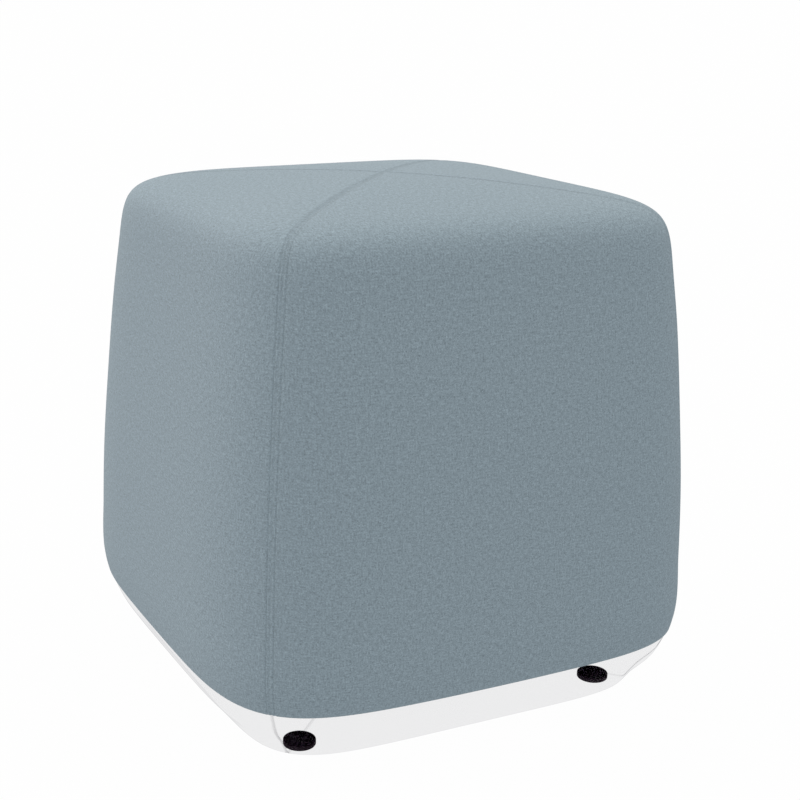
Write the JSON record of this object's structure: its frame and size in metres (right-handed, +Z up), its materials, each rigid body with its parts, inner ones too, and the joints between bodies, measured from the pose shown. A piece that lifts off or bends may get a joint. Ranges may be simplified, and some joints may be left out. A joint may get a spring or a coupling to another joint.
{
  "type": "cube pouf stool",
  "caption": "Soft cube pouf stool in blue-grey felt, with seams up its corners that cross on the crown, on a clear base tray with round black glides.",
  "frame": {"origin": "middle of the footprint, on the floor under the glides", "axes": "+Z up, the sides face X and Y, the front faces -Y, and the four corner seams lie on the diagonals"},
  "size_m": [0.4536, 0.4536, 0.4499],
  "materials": {
    "felt": "fine melange wool felt, matt",
    "clear_plastic": "clear moulded plastic with a faint grey tint",
    "black_rubber": "smooth matt black"
  },
  "bodies": {
    "root": {"cover": "felt", "base_tray": "clear_plastic", "glide_front_left": "black_rubber", "glide_front_right": "black_rubber", "glide_back_left": "black_rubber", "glide_back_right": "black_rubber"}
  },
  "joints": []
}
